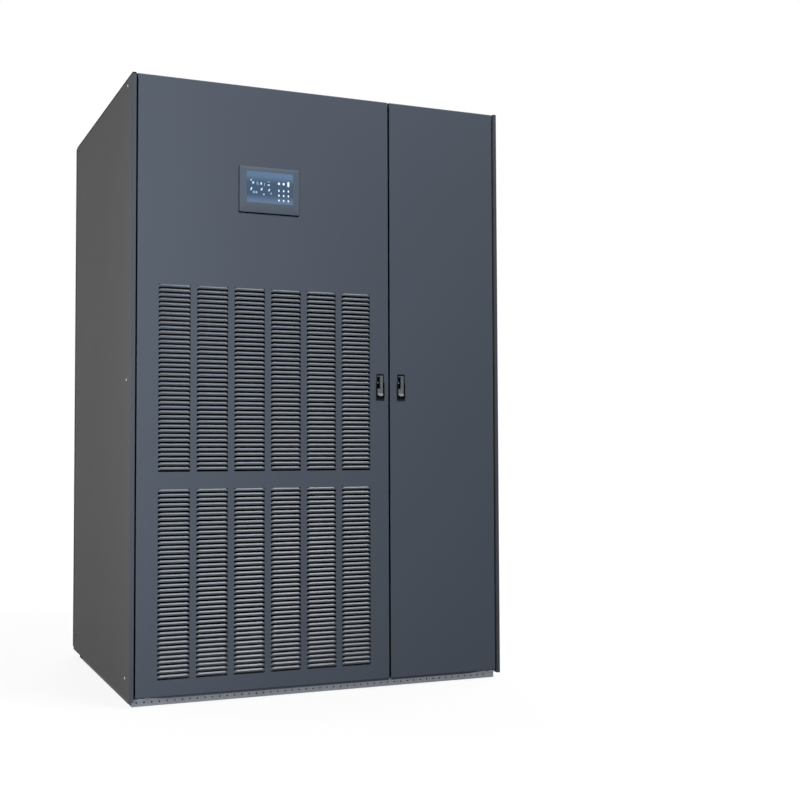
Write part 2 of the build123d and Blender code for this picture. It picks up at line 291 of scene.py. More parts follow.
@dataclass(frozen=True)
class Finish:
    """A surface finish: a colour, its gloss and the shared effect that gives it a texture."""

    name: str
    colour: Colour
    roughness: float
    metallic: float = 0.0
    specular: float = 0.5
    bump: float = 0.1
    bump_depth: float = 0.2 * MM
    zinc: bool = False
    peel: float = 1.0
    clouding: float = 0.012
    spangle: float = 1.0

    def material(self, effects: Effects) -> Material:
        """Builds the material.

        Args:
            effects: The shared shader groups.

        Returns:
            The material, with its texture on Object coordinates.
        """
        material = bpy.data.materials.new(self.name)
        material.use_nodes = True
        tree = material.node_tree
        shader = tree.nodes["Principled BSDF"]
        set_inputs(shader, {"Metallic": self.metallic, "Specular IOR Level": self.specular})
        place = tree.nodes.new("ShaderNodeTexCoord")
        effect = tree.nodes.new("ShaderNodeGroup")
        effect.node_tree = (effects.zinc if self.zinc else effects.powder).tree
        values = {"Spangle": self.spangle} if self.zinc else {"Peel": self.peel, "Clouding": self.clouding}
        set_inputs(effect, values)
        tree.links.new(place.outputs["Object"], effect.inputs["Vector"])
        tree.links.new(tinted(tree, self.colour, effect.outputs["Tint"]), shader.inputs["Base Color"])
        gloss = math_node(tree, "ADD", effect.outputs["Roughness"], self.roughness)
        tree.links.new(gloss, shader.inputs["Roughness"])
        relief = tree.nodes.new("ShaderNodeBump")
        set_inputs(relief, {"Strength": self.bump, "Distance": self.bump_depth})
        tree.links.new(effect.outputs["Height"], relief.inputs["Height"])
        tree.links.new(relief.outputs["Normal"], shader.inputs["Normal"])
        return material


CABINET_PAINT = Finish("cabinet_paint", (0.098, 0.098, 0.101), 0.65, specular=0.02)
DOOR_PAINT = Finish("door_paint", (0.076, 0.091, 0.118), 0.42, specular=0.14)
LOUVRE_PAINT = Finish("louvre_paint", (0.076, 0.091, 0.118), 0.38, specular=0.42)
# Bluish tint of the side panels' front edges as they look under the front lamps: painted light on the cabinet
# paint.
FRONT_LIGHT_TINT = Finish("front_light_tint", (0.080, 0.088, 0.106), 0.60, specular=0.03)
# Near-black frame paint: the frame's own dark colour, taken darker still so that the inside seen through the
# louvres and the base side rails read as shaded, which is partly painted shade.
FRAME_PAINT_AND_SHADE = Finish("frame_paint", (0.035, 0.036, 0.040), 0.55, specular=0.3)
ZINC_RAIL = Finish("zinc_rail", (0.27, 0.29, 0.33), 0.48, metallic=0.6, zinc=True, bump=0.05)
ZINC_PLATE = Finish("zinc_plate", (0.46, 0.46, 0.47), 0.36, metallic=0.9, zinc=True, bump=0.05)
BEZEL_PLASTIC = Finish("bezel_plastic", (0.092, 0.114, 0.150), 0.50, specular=0.12, bump=0.25)
LATCH_BLACK = Finish("latch_black", (0.006, 0.007, 0.009), 0.5, specular=0.15)
LEVER_GREY = Finish("lever_grey", (0.118, 0.130, 0.146), 0.52, specular=0.3)
LOCK_BRIGHT = Finish("lock_bright", (0.30, 0.30, 0.31), 0.35, metallic=0.9, zinc=True, bump=0.02)
SCREW_STEEL = Finish("screw_steel", (0.28, 0.28, 0.29), 0.36, metallic=0.9, zinc=True, bump=0.02)
# Near-black rubber of the seals, also used for the black sheets and plugs that paint shade under the display
# bezel, in the rail's holes and in the door gaps.
SEAL_RUBBER_AND_SHADE = Finish("seal_rubber_and_shade", (0.003, 0.003, 0.004), 0.9, specular=0.0, bump=0.3)
# Near-black foam that lines the inside as painted shade behind the louvres.
SHADE_FOAM = Finish("shade_foam", (0.010, 0.010, 0.011), 0.95, specular=0.1, bump=0.9, bump_depth=1.0 * MM)


@dataclass(frozen=True)
class ScreenFinish:
    """The lit face of the control display, paler at its top and foot and darker across its middle."""

    name: str = "screen_glass"
    top: Colour = (0.098, 0.168, 0.275)
    middle: Colour = (0.046, 0.086, 0.150)
    bottom: Colour = (0.105, 0.168, 0.270)
    bottom_end: float = 0.07
    middle_start: float = 0.26
    middle_end: float = 0.66
    top_start: float = 0.86
    roughness: float = 0.25
    specular: float = 0.2
    glow: float = 1.0
    dimmed: float = 0.1

    def material(self, low: float, high: float) -> Material:
        """Builds the material.

        Args:
            low: The height of the screen's lower edge.
            high: The height of its upper edge.

        Returns:
            The material, with a gradient on Object coordinates.
        """
        material = bpy.data.materials.new(self.name)
        material.use_nodes = True
        tree = material.node_tree
        shader = tree.nodes["Principled BSDF"]
        set_inputs(shader, {"Roughness": self.roughness, "Specular IOR Level": self.specular})
        set_inputs(shader, {"Emission Strength": self.glow})
        place = tree.nodes.new("ShaderNodeTexCoord")
        parts = tree.nodes.new("ShaderNodeSeparateXYZ")
        tree.links.new(place.outputs["Object"], parts.inputs["Vector"])
        rise = tree.nodes.new("ShaderNodeMapRange")
        set_inputs(rise, {"From Min": low, "From Max": high})
        tree.links.new(parts.outputs["Z"], rise.inputs["Value"])
        ramp = tree.nodes.new("ShaderNodeValToRGB")
        ramp.color_ramp.elements[0].color = (*self.bottom, 1.0)
        ramp.color_ramp.elements[1].color = (*self.top, 1.0)
        stops = (
            (self.bottom_end, self.bottom), (self.middle_start, self.middle),
            (self.middle_end, self.middle), (self.top_start, self.top),
        )
        for spot, colour in stops:
            ramp.color_ramp.elements.new(spot).color = (*colour, 1.0)
        tree.links.new(rise.outputs["Result"], ramp.inputs["Fac"])
        tree.links.new(ramp.outputs["Color"], shader.inputs["Emission Color"])
        dark = tinted(tree, (self.dimmed, self.dimmed, self.dimmed), ramp.outputs["Color"])
        tree.links.new(dark, shader.inputs["Base Color"])
        return material


@dataclass(frozen=True)
class GlowFinish:
    """Plain lit marks on the display."""

    name: str
    colour: Colour
    strength: float = 1.0
    dimmed: float = 0.1

    def material(self) -> Material:
        """Builds the material.

        Returns:
            The material, which glows in its own colour.
        """
        material = bpy.data.materials.new(self.name)
        material.use_nodes = True
        shader = material.node_tree.nodes["Principled BSDF"]
        dark = (*(part * self.dimmed for part in self.colour), 1.0)
        set_inputs(shader, {"Base Color": dark, "Emission Color": (*self.colour, 1.0)})
        set_inputs(shader, {"Emission Strength": self.strength})
        return material


BRIGHT_MARK = GlowFinish("bright_mark", (0.86, 0.94, 1.0))
SOFT_MARK = GlowFinish("soft_mark", (0.56, 0.68, 0.84))
DIM_MARK = GlowFinish("dim_mark", (0.24, 0.35, 0.50))


class Paintbox:
    """Every material of the cabinet, made when it is first asked for."""

    def __init__(self) -> None:
        """Builds the shared shader groups."""
        self.effects = Effects(PowderCoat().group(), ZincSpangle().group())
        self.made: dict[str, Material] = {}

    def get(self, finish: Finish) -> Material:
        """Finds or makes the material of a finish.

        Args:
            finish: The finish.

        Returns:
            Its one material.
        """
        if finish.name not in self.made:
            self.made[finish.name] = finish.material(self.effects)
        return self.made[finish.name]


# Mesh helpers


def box_mesh(mesh: Mesh, low: Vector, high: Vector) -> list[Vert]:
    """Adds a box.

    Args:
        mesh: The mesh that it goes into.
        low: Its lowest corner.
        high: Its highest corner.

    Returns:
        The new vertices.
    """
    place = Matrix.Translation((low + high) / 2) @ Matrix.Diagonal((*(high - low), 1.0))
    return bmesh.ops.create_cube(mesh, size=1.0, matrix=place)["verts"]


def verts_in(parts: Iterable[object]) -> list[Vert]:
    """The vertices among the parts that an operator gives back."""
    return [part for part in parts if isinstance(part, Vert)]


def prism(corners: Iterable[Place], along: Place) -> Mesh:
    """Grows a flat outline into a solid.

    Args:
        corners: The corners of the outline, in order.
        along: How far it grows, and which way.

    Returns:
        The new mesh.
    """
    mesh = bmesh.new()
    face = mesh.faces.new([mesh.verts.new(corner) for corner in corners])
    grown = bmesh.ops.extrude_face_region(mesh, geom=[face])["geom"]
    bmesh.ops.translate(mesh, verts=verts_in(grown), vec=along)
    bmesh.ops.recalc_face_normals(mesh, faces=mesh.faces)
    return mesh


def round_edges(mesh: Mesh, edges: Iterable[Edge], width: float, steps: int = 2) -> None:
    """Rounds edges.

    Args:
        mesh: The mesh that they are in.
        edges: The edges.
        width: How far the rounding reaches.
        steps: How many faces it has.
    """
    bmesh.ops.bevel(
        mesh, geom=list(edges), offset=width, offset_type="OFFSET", segments=steps,
        profile=0.5, affect="EDGES", material=-1, clamp_overlap=True,
    )


def edges_of(verts: Iterable[Vert]) -> set[Edge]:
    """The edges that join the given vertices."""
    chosen = set(verts)
    return {e for v in chosen for e in v.link_edges if e.other_vert(v) in chosen}


def depth_edges(verts: Iterable[Vert]) -> list[Edge]:
    """The edges among the given vertices that run from front to rear."""
    return [e for e in edges_of(verts) if abs(e.verts[0].co.y - e.verts[1].co.y) > CLOSE]


def piece(
    name: str, mesh: Mesh, material: Material, body: str,
    stands_for: Iterable[str] = (), crease: float = 35.0,
) -> None:
    """Turns a finished bmesh into a piece that rides on a body.

    Args:
        name: The piece's name.
        mesh: Its shape, in place. It is freed here.
        material: Its material.
        body: The body that it moves with.
        stands_for: The CAD nodes that it replaces.
        crease: The angle in degrees above which an edge stays sharp.
    """
    data = bpy.data.meshes.new(name)
    mesh.to_mesh(data)
    mesh.free()
    for face in data.polygons:
        face.use_smooth = True
    data.set_sharp_from_angle(angle=math.radians(crease))
    data.materials.append(material)
    thing = bpy.data.objects.new(name, data)
    bpy.context.scene.collection.objects.link(thing)
    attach(thing, body)
    for node in stands_for:
        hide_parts(node)
    LOG.info("%s: %d faces on %s", name, len(data.polygons), body)


def paint_nodes(names: Iterable[str], material: Material) -> None:
    """Gives CAD nodes a material.

    Args:
        names: The nodes.
        material: Their one material.
    """
    for name in names:
        slots = frame["nodes"][name].data.materials
        slots.clear()
        slots.append(material)


# Sub-assemblies


@dataclass
class Assembly:
    """A sub-assembly of the cabinet, with the materials that it draws on."""

    paints: Paintbox


@dataclass
class LouvreBanks(Assembly):
    """Twelve banks of pressed louvres in the wide door."""

    columns: int = 6
    count: int = 40
    pitch: float = 15.0 * MM
    foot: float = 0.2 * MM
    slope: float = 3.7 * MM
    roll: float = 4.6 * MM
    reach: float = 9.0 * MM
    proud: float = 3.3 * MM
    shoulder: float = 2.9 * MM
    crease: float = 15.0
    curl: float = 2.4 * MM
    flat_lines: int = 2
    end_gap: float = 1.2 * MM
    end_drop: float = 0.62
    end_foot: float = 2.5 * MM
    end_foot_drop: float = 0.28
    end_foot_share: float = 0.72
    end_run: float = 8.0 * MM
    sink: float = 0.6 * MM
    sheet: float = 1.2 * MM

    def profile(self) -> list[tuple[float, float]]:
        """Places down a louvre from its top line, each with its height above the sheet."""
        return [
            (0.0, 0.0), (self.foot, 0.0), (self.slope, self.shoulder),
            (self.roll, self.proud), (self.reach, self.proud - self.curl),
        ]

    def stations(self, half: float) -> list[tuple[float, float, float]]:
        """Places along a louvre, whose ends arch down to its lower edge.

        Args:
            half: Half the louvre's length.

        Returns:
            From the left end to the right end: the place, its drop towards the lower edge and its share of
            the full height.
        """
        ends = [
            (half, self.end_drop, 0.0), (half - self.end_foot, self.end_foot_drop, self.end_foot_share),
            (half - self.end_run, 0.0, 1.0),
        ]
        return [(-place, *shares) for place, *shares in ends] + ends[::-1]

    def one(self, low: Vector, high: Vector, front: float) -> Mesh:
        """Presses one louvre out of its strip of sheet.

        Args:
            low: The lowest corner of the bank.
            high: The highest corner of the bank.
            front: The front plane of the door.

        Returns:
            A closed mesh of the topmost louvre.
        """
        mesh = bmesh.new()
        middle = (high.x + low.x) / 2
        lines = self.profile()
        places = self.stations((high.x - low.x) / 2)
        grid = bmesh.ops.create_grid(mesh, x_segments=len(places) - 1, y_segments=len(lines) - 1, size=1.0)
        for vert in grid["verts"]:
            across, drop, share = places[round((1 + vert.co.x) / 2 * (len(places) - 1))]
            line = round((1 - vert.co.y) / 2 * (len(lines) - 1))
            down, out = lines[line]
            down += (self.reach - down) * drop
            if line >= self.flat_lines:
                across -= math.copysign(self.end_gap, across)
            vert.co = (middle + across, front + self.sink - out * share, high.z - down)
        bmesh.ops.recalc_face_normals(mesh, faces=mesh.faces)
        outward = sum(face.normal.y * face.calc_area() for face in mesh.faces)
        if outward > 0:
            bmesh.ops.reverse_faces(mesh, faces=mesh.faces)
        bmesh.ops.solidify(mesh, geom=mesh.faces[:], thickness=self.sheet)
        return mesh

    def build(self) -> None:
        """Fills each window of the wide door with its bank."""
        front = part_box("left_door_skin")[0].y
        paint = self.paints.get(LOUVRE_PAINT)
        for row in Row:
            for column in range(1, self.columns + 1):
                node = f"{row.value}_louvre_bank_{column}"
                low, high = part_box(node)
                mesh = self.one(low, high, front)
                first = mesh.verts[:] + mesh.edges[:] + mesh.faces[:]
                for step in range(1, self.count):
                    copy = bmesh.ops.duplicate(mesh, geom=first)["geom"]
                    bmesh.ops.translate(mesh, verts=verts_in(copy), vec=(0, 0, -self.pitch * step))
                piece(f"{node}_pressed", mesh, paint, "left_door", [node], self.crease)


@dataclass(frozen=True)
class Mark:
    """One lit mark, placed and sized in shares of the screen from its upper left corner."""

    right: float
    down: float
    wide: float
    tall: float
    turn: float = 0.0


@dataclass
class Display(Assembly):
    """The control display: a thin bezel with a lit screen, plain marks and a keypad."""

    proud: float = 3.2 * MM
    left_lap: float = 4.0 * MM
    corner: float = 3.5 * MM
    corner_steps: int = 3
    lip_share: float = 0.3
    edge: float = 0.4 * MM
    sink: float = 0.9 * MM
    glass: float = 0.6 * MM
    glass_left: float = -1.4 * MM
    glass_right: float = -4.9 * MM
    gasket: float = 0.8 * MM
    # How far the black sheet behind the bezel reaches past its left and lower edges, as a painted shadow.
    shadow_left: float = 1.6 * MM
    shadow_drop: float = 4.0 * MM
    trim_foot: float = 2.0 * MM
    mark_lift: float = 0.12 * MM
    mark_round: float = 0.45
    key_columns: tuple[float, ...] = (0.690, 0.792, 0.894)
    key_rows: tuple[float, ...] = (0.340, 0.565, 0.720, 0.880)
    round_key: tuple[float, float] = (0.048, 0.078)
    tall_key: tuple[float, float] = (0.042, 0.165)
    small_key: tuple[float, float] = (0.030, 0.066)

    def readings(self) -> list[Mark]:
        """The clear status marks in the left half of the screen."""
        return [
            Mark(0.097, 0.29, 0.020, 0.060, 35.0), Mark(0.139, 0.37, 0.042, 0.075),
            Mark(0.310, 0.38, 0.036, 0.085), Mark(0.470, 0.41, 0.055, 0.038),
            Mark(0.100, 0.57, 0.028, 0.110, 25.0), Mark(0.320, 0.56, 0.030, 0.100, 30.0),
            Mark(0.480, 0.57, 0.028, 0.090, 25.0), Mark(0.366, 0.72, 0.036, 0.045),
        ]

    def faint_readings(self) -> list[Mark]:
        """The faint status marks between the bright ones."""
        return [
            Mark(0.220, 0.38, 0.014, 0.110), Mark(0.245, 0.39, 0.014, 0.110, -10.0),
            Mark(0.380, 0.40, 0.016, 0.110), Mark(0.470, 0.31, 0.050, 0.025),
            Mark(0.155, 0.67, 0.045, 0.085), Mark(0.210, 0.67, 0.045, 0.080),
            Mark(0.520, 0.68, 0.026, 0.080, 25.0),
        ]

    def keys(self) -> list[Mark]:
        """The keypad.

        Returns:
            Two round keys and a tall one over nine small ones.
        """
        top = [Mark(x, self.key_rows[0], *self.round_key) for x in self.key_columns[:2]]
        tall = Mark(self.key_columns[2], self.key_rows[0], *self.tall_key)
        small = [Mark(x, z, *self.small_key) for x in self.key_columns for z in self.key_rows[1:]]
        return [*top, tall, *small]

    def window(self) -> tuple[Vector, Vector]:
        """The lowest and highest corner of the visible glass."""
        low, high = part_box("display_screen")
        return low + Vector((self.glass_left, 0, 0)), high + Vector((self.glass_right, 0, 0))

    def slab(self, low: Vector, high: Vector) -> Mesh:
        """A flat slab with rounded corners and a rounded front edge.

        Args:
            low: Its lowest corner.
            high: Its highest corner.

        Returns:
            The new mesh.
        """
        mesh = bmesh.new()
        verts = box_mesh(mesh, low, high)
        round_edges(mesh, depth_edges(verts), self.corner, self.corner_steps)
        round_edges(mesh, self.front_face(mesh).edges, min(self.edge, (high.y - low.y) / 2))
        return mesh

    def front_face(self, mesh: Mesh) -> bmesh.types.BMFace:
        """The large front face of a slab."""
        return max((f for f in mesh.faces if f.normal.y < FACING_FRONT), key=lambda f: f.calc_area())

    def bezel(self) -> float:
        """Makes the bezel with its opening, and a black sheet behind it that shows only past its left and lower
        edges as a painted shadow.

        Returns:
            The depth of the opening's floor.
        """
        low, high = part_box("display_bezel")
        low.z += self.trim_foot
        left = low.x - self.left_lap
        front = high.y - self.proud
        mesh = self.slab(Vector((left, front, low.z)), high)
        face = self.front_face(mesh)
        bmesh.ops.inset_region(mesh, faces=[face], thickness=self.corner * self.lip_share)
        xs = [v.co.x for v in face.verts]
        zs = [v.co.z for v in face.verts]
        glass_low, glass_high = self.window()
        for vert in face.verts:
            x = (vert.co.x - min(xs)) / (max(xs) - min(xs))
            z = (vert.co.z - min(zs)) / (max(zs) - min(zs))
            vert.co.x = glass_low.x + x * (glass_high.x - glass_low.x)
            vert.co.z = glass_low.z + z * (glass_high.z - glass_low.z)
        floor = bmesh.ops.extrude_discrete_faces(mesh, faces=[face])["faces"][0]
        bmesh.ops.translate(mesh, verts=floor.verts, vec=(0, self.sink, 0))
        plastic = self.paints.get(BEZEL_PLASTIC)
        piece("display_frame", mesh, plastic, "left_door", ["display_bezel"])
        # A black sheet that shows only past the bezel's left and lower edges: a painted shadow of the bezel.
        back = Vector((left - self.shadow_left, high.y - self.gasket, low.z - self.shadow_drop))
        rubber = self.paints.get(SEAL_RUBBER_AND_SHADE)
        piece("display_shadow_sheet", self.slab(back, high), rubber, "left_door")
        return front + self.sink

    def lay(self, name: str, marks: Iterable[Mark], face: float, finish: GlowFinish) -> None:
        """Lays a set of lit marks on the screen.

        Args:
            name: The name of the joined piece.
            marks: The marks.
            face: The screen's front plane.
            finish: How they glow.
        """
        low, high = self.window()
        width = high.x - low.x
        height = high.z - low.z
        middle = face - self.mark_lift / 2
        mesh = bmesh.new()
        for mark in marks:
            wide = width * mark.wide
            tall = height * mark.tall
            spot = Matrix.Translation((low.x + width * mark.right, middle, high.z - height * mark.down))
            turn = Matrix.Rotation(math.radians(mark.turn), 4, "Y")
            size = Matrix.Diagonal((wide, self.mark_lift, tall, 1.0))
            verts = bmesh.ops.create_cube(mesh, size=1.0, matrix=spot @ turn @ size)["verts"]
            round_edges(mesh, depth_edges(verts), min(wide, tall) * self.mark_round)
        piece(name, mesh, finish.material(), "left_door")

    def build(self) -> None:
        """Makes the bezel, the screen in it and the marks on the screen."""
        floor = self.bezel()
        low, high = self.window()
        face = floor - self.glass
        mesh = self.slab(Vector((low.x, face, low.z)), Vector((high.x, floor, high.z)))
        lit = ScreenFinish().material(low.z, high.z)
        piece("display_glass", mesh, lit, "left_door", ["display_screen"])
        self.lay("display_keys", self.keys(), face, BRIGHT_MARK)
        self.lay("display_readings", self.readings(), face, SOFT_MARK)
        self.lay("display_faint_marks", self.faint_readings(), face, DIM_MARK)


@dataclass
class Latch(Assembly):
    """A paddle latch: a dark dish in the door, a lever in it, a small lock and a pad under the dish."""

    side: Side
    pad_drop: float = 5.0 * MM
    pad_thick: float = 0.5 * MM
    pad_corner: float = 1.5 * MM
    pad_steps: int = 3

    def pad(self) -> None:
        """Lays the thin black pad on the door just below the dish."""
        side = self.side.value
        low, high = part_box(f"{side}_latch_dish")
        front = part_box(f"{side}_door_skin")[0].y
        foot = Vector((low.x, front - self.pad_thick, low.z - self.pad_drop))
        mesh = bmesh.new()
        verts = box_mesh(mesh, foot, Vector((high.x, front, low.z)))
        lower = [e for e in depth_edges(verts) if e.verts[0].co.z < low.z - self.pad_drop / 2]
        round_edges(mesh, lower, self.pad_corner, self.pad_steps)
        piece(f"{side}_latch_pad", mesh, self.paints.get(LATCH_BLACK), f"{side}_door")

    def build(self) -> None:
        """Lays the pad and dresses the dish, the lock and the lever."""
        side = self.side.value
        self.pad()
        paint_nodes([f"{side}_latch_dish"], self.paints.get(LATCH_BLACK))
        paint_nodes([f"{side}_lock"], self.paints.get(LOCK_BRIGHT))
        paint_nodes([f"{side}_latch_lever"], self.paints.get(LEVER_GREY))


@dataclass
class Screws(Assembly):
    """Round-headed screws that hold the side panels, bright in front and painted over at the rear.

    Each ring of a head has its share of the head's radius and its own share of the head's height.
    """

    head_r: float = 5.0 * MM
    head_h: float = 2.2 * MM
    segments: int = 16
    rings: tuple[tuple[float, float], ...] = ((1.0, 0.45), (0.86, 0.35), (0.6, 0.2))
    socket_rim: float = 0.1
    socket_depth: float = 0.5
    below_top: float = 25.0 * MM
    above_middle: float = 16.0 * MM
    above_foot: float = 63.0 * MM
    behind_front: float = 65.0 * MM
    before_rear: float = 50.0 * MM

    def head(self, mesh: Mesh) -> None:
        """Adds one screw at the origin, with its head towards +Z.

        Args:
            mesh: The mesh that it goes into.
        """
        ring = bmesh.ops.create_circle(mesh, cap_ends=True, radius=self.head_r, segments=self.segments)
        face = ring["verts"][0].link_faces[0]
        for share, lift in self.rings:
            grown = bmesh.ops.extrude_discrete_faces(mesh, faces=[face])
            face = grown["faces"][0]
            middle = face.calc_center_median()
            scale = share * self.head_r / (face.verts[0].co - middle).length
            bmesh.ops.scale(mesh, vec=(scale, scale, 1), space=Matrix.Translation(-middle), verts=face.verts)
            bmesh.ops.translate(mesh, vec=(0, 0, lift * self.head_h), verts=face.verts)
        bmesh.ops.inset_individual(mesh, faces=[face], thickness=self.head_r * self.socket_rim)
        bmesh.ops.translate(mesh, vec=(0, 0, -self.socket_depth * self.head_h), verts=face.verts)

    def place(self, spots: Iterable[tuple[Vector, Vector]], name: str, material: Material) -> None:
        """Sets a screw at each spot.

        Args:
            spots: Pairs of a point on a panel and the panel's outward direction.
            name: The name of the joined piece.
            material: The screws' material.
        """
        mesh = bmesh.new()
        for point, out in spots:
            single = bmesh.new()
            self.head(single)
            turn = out.to_track_quat("Z", "Y").to_matrix().to_4x4()
            bmesh.ops.transform(single, matrix=Matrix.Translation(point) @ turn, verts=single.verts)
            keep = bpy.data.meshes.new("screw")
            single.to_mesh(keep)
            single.free()
            mesh.from_mesh(keep)
            bpy.data.meshes.remove(keep)
        piece(name, mesh, material, "cabinet")

    def build(self) -> None:
        """Screws the side panels to the frame."""
        for side in Side:
            low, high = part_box(f"{side.value}_side_panel")
            out = Vector((side.outward, 0, 0))
            x = side.outer_first(low, high)[0]
            middle = (low.z + high.z) / 2
            heights = (high.z - self.below_top, middle + self.above_middle, low.z + self.above_foot)
            spots = [(Vector((x, low.y + self.behind_front, z)), out) for z in heights]
            self.place(spots, f"{side.value}_side_screws", self.paints.get(SCREW_STEEL))
            spots = [(Vector((x, high.y - self.before_rear, z)), out) for z in heights]
            self.place(spots, f"{side.value}_rear_screws", self.paints.get(CABINET_PAINT))


@dataclass
class Lining(Assembly):
    """Black foam on the inner faces of the panels, whose black paints the shade inside the cabinet that shows
    through the louvres.
    """

    thick: float = 6.0 * MM
    margin: float = 6.0 * MM
    edge: float = 2.5 * MM
    seam_half: float = 15.0 * MM
    seam_gap: float = 2.0 * MM

    def slab(self, mesh: Mesh, low: Vector, high: Vector) -> None:
        """Adds one slab of foam with soft edges between two corners."""
        round_edges(mesh, edges_of(box_mesh(mesh, low, high)), self.edge)

    def build(self) -> None:
        """Lines the side and rear panels between the posts, and the rear panels' seam under the floor pan."""
        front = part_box("front_left_post")
        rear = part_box("rear_right_post")
        bottom = front[0].z + self.margin
        top = front[1].z - self.margin
        mesh = bmesh.new()
        for x in (front[0].x, rear[1].x - self.thick):
            low = Vector((x, front[1].y + self.margin, bottom))
            self.slab(mesh, low, Vector((x + self.thick, rear[0].y - self.margin, top)))
        panel_low, panel_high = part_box("rear_left_panel")
        back = panel_low.y
        low = Vector((front[1].x + self.margin, back - self.thick, bottom))
        self.slab(mesh, low, Vector((rear[0].x - self.margin, back, top)))
        seam = panel_high.x
        low = Vector((seam - self.seam_half, back - self.thick, panel_low.z + self.seam_gap))
        high = Vector((seam + self.seam_half, back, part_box("floor_pan")[0].z - self.seam_gap))
        self.slab(mesh, low, high)
        # The black lining is painted shade for the inside seen through the louvres.
        piece("interior_shade_lining", mesh, self.paints.get(SHADE_FOAM), "cabinet")


@dataclass
class Seals(Assembly):
    """Dark seals and painted shade: gaskets behind the doors, dark strips in the gaps beside them as painted
    shade, panel edge trims and black in the rail's holes as painted shade.
    """

    gasket_w: float = 20.0 * MM
    gasket_t: float = 7.0 * MM
    strip_t: float = 2.5 * MM
    strip_front: float = 1.5 * MM
    strip_rear: float = 3.0 * MM
    strip_tip: float = 8.0 * MM
    arm_gap: float = 2.0 * MM
    trim_w: float = EDGE_TRIM_W
    trim_proud: float = 0.5 * MM
    panel_strip: float = 2.0 * MM
    edge: float = 0.4 * MM
    end_gap: float = 6.0 * MM
    top_gap: float = 1.0 * MM
    rail_sheet: float = 3.0 * MM
    rail_lip: float = 25.0 * MM
    hole_pitch: float = 25.0 * MM
    plug_r: float = 2.3 * MM
    plug_sink: float = 0.6 * MM
    plug_sides: int = 6

    def bar(self, mesh: Mesh, low: Vector, high: Vector) -> None:
        """Adds one bar of rubber with rounded edges between two corners."""
        round_edges(mesh, edges_of(box_mesh(mesh, low, high)), self.edge)

    def gaskets(self) -> None:
        """Runs a gasket down the front of each post and along the rail over the doors."""
        mesh = bmesh.new()
        for node in ("front_left_post", "centre_post", "front_right_post"):
            low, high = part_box(node)
            middle = (low.x + high.x) / 2
            self.bar(
                mesh, Vector((middle - self.gasket_w / 2, low.y - self.gasket_t, low.z + self.end_gap)),
                Vector((middle + self.gasket_w / 2, low.y, high.z)),
            )
        low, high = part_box("front_top_rail")
        middle = (low.z + high.z) / 2
        self.bar(
            mesh, Vector((low.x + self.end_gap, low.y - self.gasket_t, middle - self.gasket_w / 2)),
            Vector((high.x - self.end_gap, low.y, middle + self.gasket_w / 2)),
        )
        piece("frame_gaskets", mesh, self.paints.get(SEAL_RUBBER_AND_SHADE), "cabinet")

    def rail_hole_shade(self) -> None:
        """Fills the holes of the front rail with black from behind: a black strip behind the rail and a plug that
        swells into each hole, as painted shade in the holes.
        """
        low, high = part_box("base_front_rail")
        near = low.y + self.rail_sheet
        # Black strip and plugs: painted shade in the rail's holes.
        mesh = bmesh.new()
        self.bar(
            mesh, Vector((low.x + self.end_gap, near, low.z + self.rail_sheet)),
            Vector((high.x - self.end_gap, near + self.strip_t, low.z + self.rail_lip - self.rail_sheet)),
        )
        rows = [mount for mount in frame["record"]["mounts"] if mount["kind"] == "bolt_pattern"]
        widest = max(rows, key=lambda mount: mount["dims"]["spacing_x_mm"])
        middle = Vector(widest["pos_m"])
        half = widest["dims"]["spacing_x_mm"] * MM / 2
        depth = self.rail_sheet - self.plug_sink + self.edge
        y = low.y + self.plug_sink + depth / 2
        turn = Matrix.Rotation(math.pi / 2, 4, "X")
        for step in range(round(2 * half / self.hole_pitch) + 1):
            spot = Matrix.Translation((middle.x - half + step * self.hole_pitch, y, middle.z))
            bmesh.ops.create_cone(
                mesh, cap_ends=True, segments=self.plug_sides, radius1=self.plug_r, radius2=self.plug_r,
                depth=depth, matrix=spot @ turn,
            )
        piece("rail_hole_shade", mesh, self.paints.get(SEAL_RUBBER_AND_SHADE), "cabinet")

    def panel_edges(self) -> None:
        """Trims the top and rear edges of the side panels with black rubber."""
        proud = Vector((self.trim_proud, 0, 0))
        mesh = bmesh.new()
        for side in Side:
            low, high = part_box(f"{side.value}_side_panel")
            top = high.z + self.trim_proud
            self.bar(
                mesh, Vector((low.x, low.y - self.trim_proud, high.z - self.trim_w)) - proud,
                Vector((high.x, high.y, top)) + proud,
            )
            self.bar(
                mesh, Vector((low.x, high.y - self.trim_w, low.z)) - proud,
                Vector((high.x, high.y + self.trim_proud, high.z - self.trim_w)) + proud,
            )
        piece("panel_edge_trim", mesh, self.paints.get(SEAL_RUBBER_AND_SHADE), "cabinet")

    def strip(self, name: str, body: str, door: str, face: float, material: Material) -> None:
        """Lays one upright dark strip in the gap beside a door, as painted shade in that gap, with a slim tip that
        clears the pivot arms on the roof.

        Args:
            name: The strip's name.
            body: The body that carries it.
            door: The door skin that gives its height and depth.
            face: The x of the face on whose left it is stuck.
            material: The strip's material.
        """
        low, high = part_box(door)
        inner = face - self.strip_t
        front = low.y + self.strip_front
        rear = high.y - self.strip_rear
        tip = Vector((face, front + self.strip_tip, high.z - self.top_gap))
        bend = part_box("roof_panel")[1].z - self.arm_gap
        mesh = bmesh.new()
        self.bar(mesh, Vector((inner, front, low.z + self.end_gap)), Vector((face, rear, bend)))
        self.bar(mesh, Vector((inner, front, bend)), tip)
        piece(name, mesh, material, body)

    def build(self) -> None:
        """Fits the gaskets, the painted shade in the rail's holes, the panel edge trims and the four dark strips
        that paint the shade in the door gaps.
        """
        self.gaskets()
        self.rail_hole_shade()
        self.panel_edges()
        left, right = "left_door_skin", "right_door_skin"
